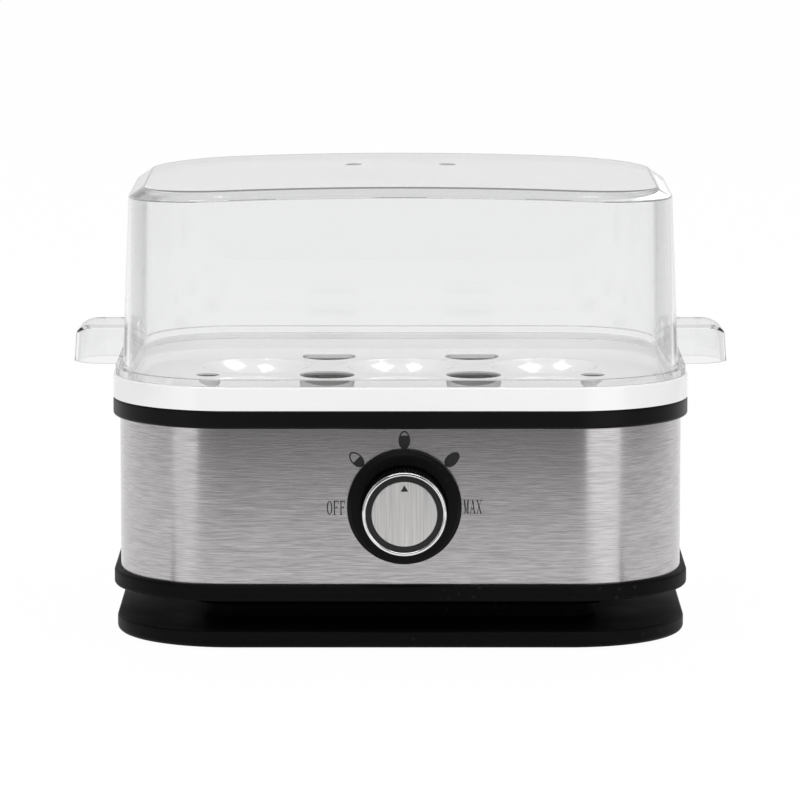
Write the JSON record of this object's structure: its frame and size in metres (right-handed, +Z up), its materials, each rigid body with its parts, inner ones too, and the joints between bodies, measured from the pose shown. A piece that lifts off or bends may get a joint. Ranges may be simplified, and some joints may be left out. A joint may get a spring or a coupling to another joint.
{
  "type": "electric egg cooker",
  "caption": "Electric egg cooker with a brushed steel body on a cord-wrap pedestal, a front knob, a lift-out egg tray and a clear lid with side handles.",
  "frame": {"origin": "on the table, under the middle of the whole object's box", "axes": "+Z up, +X to the right seen from the front, the knob faces -Y"},
  "size_m": [0.2276, 0.1614, 0.1568],
  "materials": {
    "black_plastic": "glossy black",
    "black_rubber": "matte black",
    "zinc_steel": "zinc plated",
    "brushed_steel": "brushed along the width",
    "silicone": "matte grey",
    "dish_steel": "satin stainless",
    "element_steel": "dull heat-stained metal",
    "ceramic": "matte cream",
    "clamp_aluminium": "mill finish",
    "dark_resin": "matte dark brown",
    "brass": "plain turned",
    "knob_black": "satin black",
    "chrome": "polished",
    "knob_steel": "brushed up and down",
    "wire_insulation": "pale glass-fibre sleeve",
    "white_plastic": "glossy white",
    "clear_plastic": "clear, glossy"
  },
  "bodies": {
    "base": {"foot_plate": "black_plastic", "rubber_feet": "black_rubber", "base_screws": "zinc_steel", "lower_housing": "black_plastic", "ring_screws": "zinc_steel", "cord_gland": "black_rubber", "steel_shell": "brushed_steel", "upper_ring": "black_plastic", "dish_seal": "silicone", "heating_dish": "dish_steel", "heating_element": "element_steel", "element_terminals": "ceramic", "element_clamp": "clamp_aluminium", "clamp_nuts": "zinc_steel", "thermal_cutout": "dark_resin", "rotary_control": "dark_resin", "control_plate": "zinc_steel", "knob_bezel": "black_plastic", "bush_nut": "brass", "buzzer": "dark_resin", "terminal_block": "ceramic", "wire_supply": "wire_insulation", "wire_switched": "wire_insulation", "wire_return": "wire_insulation"},
    "knob": {"knob_grip": "knob_black", "knob_chrome_ring": "chrome", "knob_face": "knob_steel", "knob_insert": "brass", "knob_shaft": "zinc_steel"},
    "tray": {"egg_tray": "white_plastic"},
    "lid": {"lid": "clear_plastic"}
  },
  "joints": [
    {"name": "knob_turn", "type": "hinge", "parent": "base", "child": "knob", "pos_m": [0.0013, -0.06365, 0.0495], "axis": [0, 1, 0], "range_deg": [-90, 90]},
    {"name": "tray_lift", "type": "slide", "parent": "base", "child": "tray", "axis": [0, 0, 1], "range_m": [0, 0.1]},
    {"name": "lid_lift", "type": "slide", "parent": "tray", "child": "lid", "axis": [0, 0, 1], "range_m": [0, 0.12]}
  ]
}
